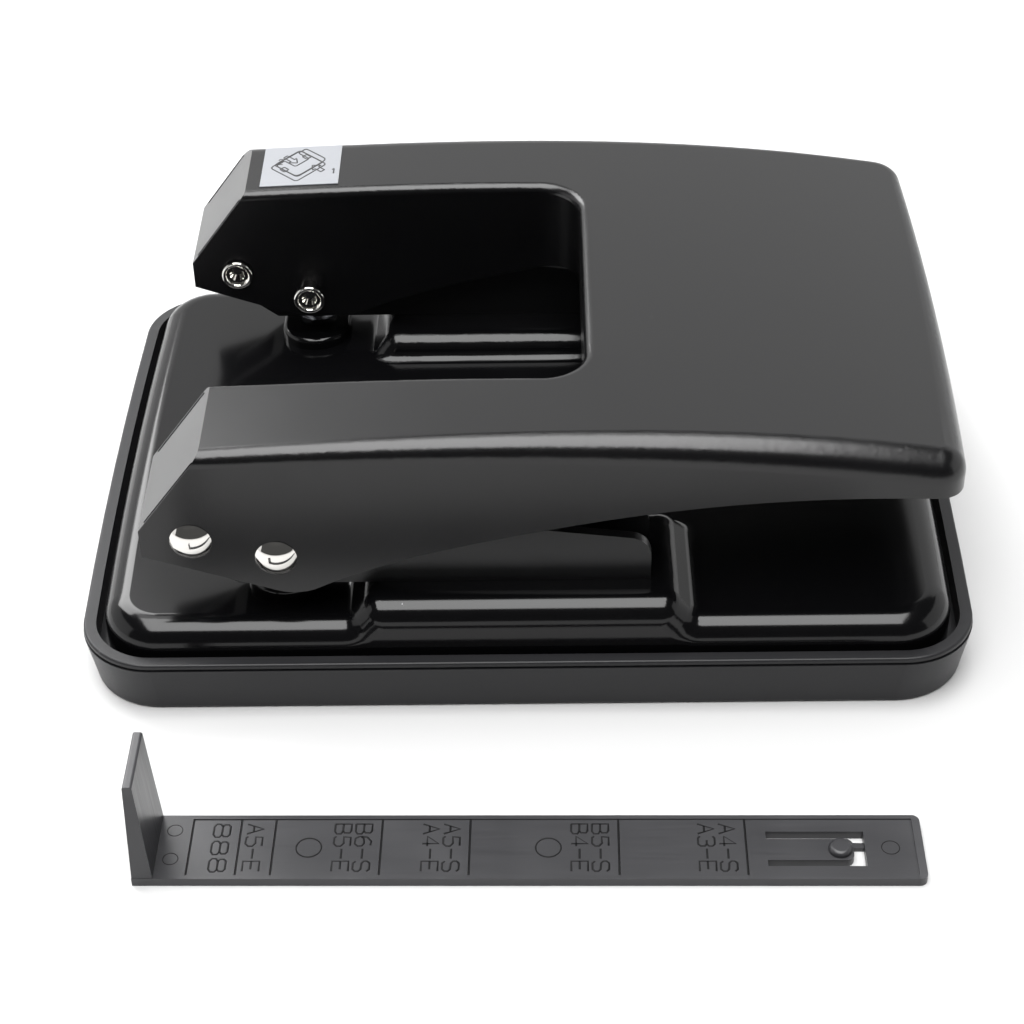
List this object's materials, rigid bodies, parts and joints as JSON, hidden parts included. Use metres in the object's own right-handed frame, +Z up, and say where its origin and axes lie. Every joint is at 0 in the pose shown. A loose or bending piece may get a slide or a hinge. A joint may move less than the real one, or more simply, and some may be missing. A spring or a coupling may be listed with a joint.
{
  "type": "hole punch",
  "caption": "Two-hole desk punch with a pressed U-shaped lever over a flat base, a clip-on chip tray and a loose sliding paper guide with an upright end stop.",
  "frame": {"origin": "centre of the chip tray's flat underside, on the table", "axes": "+Z up, +X from the punches toward the grip end of the lever, +Y toward the arm that carries the label"},
  "size_m": [0.1528, 0.152, 0.0511],
  "materials": {
    "tray_plastic": "moulded satin black",
    "black_enamel": "gloss black stove enamel",
    "handle_enamel": "semi-gloss black powder coat",
    "bracket_enamel": "satin black paint",
    "bright_nickel": "polished nickel plate",
    "plated_steel": "zinc plated",
    "tool_steel": "ground and oiled",
    "spring_wire": "drawn wire",
    "guide_plastic": "moulded fine satin",
    "label_paper": "satin white film"
  },
  "bodies": {
    "tray": {"chip_tray": "tray_plastic"},
    "base": {"base_plate": "black_enamel", "die_ring_near": "tool_steel", "bracket_near": "bracket_enamel", "bracket_rivets_near": "plated_steel", "guide_bush_near": "tool_steel", "die_ring_far": "tool_steel", "bracket_far": "bracket_enamel", "bracket_rivets_far": "plated_steel", "guide_bush_far": "tool_steel", "return_spring_near": "spring_wire", "return_spring_far": "spring_wire"},
    "lever": {"handle": "handle_enamel", "instruction_label": "label_paper", "pivot_rivet_near": "bright_nickel", "drive_pin_near": "bright_nickel", "pivot_washers_near": "plated_steel", "pivot_rivet_far": "bright_nickel", "drive_pin_far": "bright_nickel", "pivot_washers_far": "plated_steel"},
    "punch_near": {"punch_near": "tool_steel"},
    "punch_far": {"punch_far": "tool_steel"},
    "guide": {"paper_guide": "guide_plastic"}
  },
  "joints": [
    {"name": "base_lift", "type": "slide", "parent": "tray", "child": "base", "axis": [0, 0, 1], "range_m": [0, 0.03]},
    {"name": "lever_hinge", "type": "hinge", "parent": "base", "child": "lever", "pos_m": [-0.0544, 0, 0.03275], "axis": [0, 1, 0], "range_deg": [0, 9.8], "stiffness_Nm_per_rad": 0.6, "springref_deg": -25.78},
    {"name": "punch_near_slide", "type": "slide", "parent": "base", "child": "punch_near", "axis": [0, 0, -1], "range_m": [0, 0.0023], "deforming": ["return_spring_near"]},
    {"name": "punch_far_slide", "type": "slide", "parent": "base", "child": "punch_far", "axis": [0, 0, -1], "range_m": [0, 0.0023], "deforming": ["return_spring_far"]},
    {"name": "guide_lift", "type": "slide", "parent": "tray", "child": "guide", "axis": [0, 0, 1], "range_m": [0, 0.04]}
  ],
  "couplings": [
    {"joint": "punch_near_slide", "follows": "lever_hinge", "m_per_rad": 0.01321},
    {"joint": "punch_far_slide", "follows": "lever_hinge", "m_per_rad": 0.01321}
  ]
}
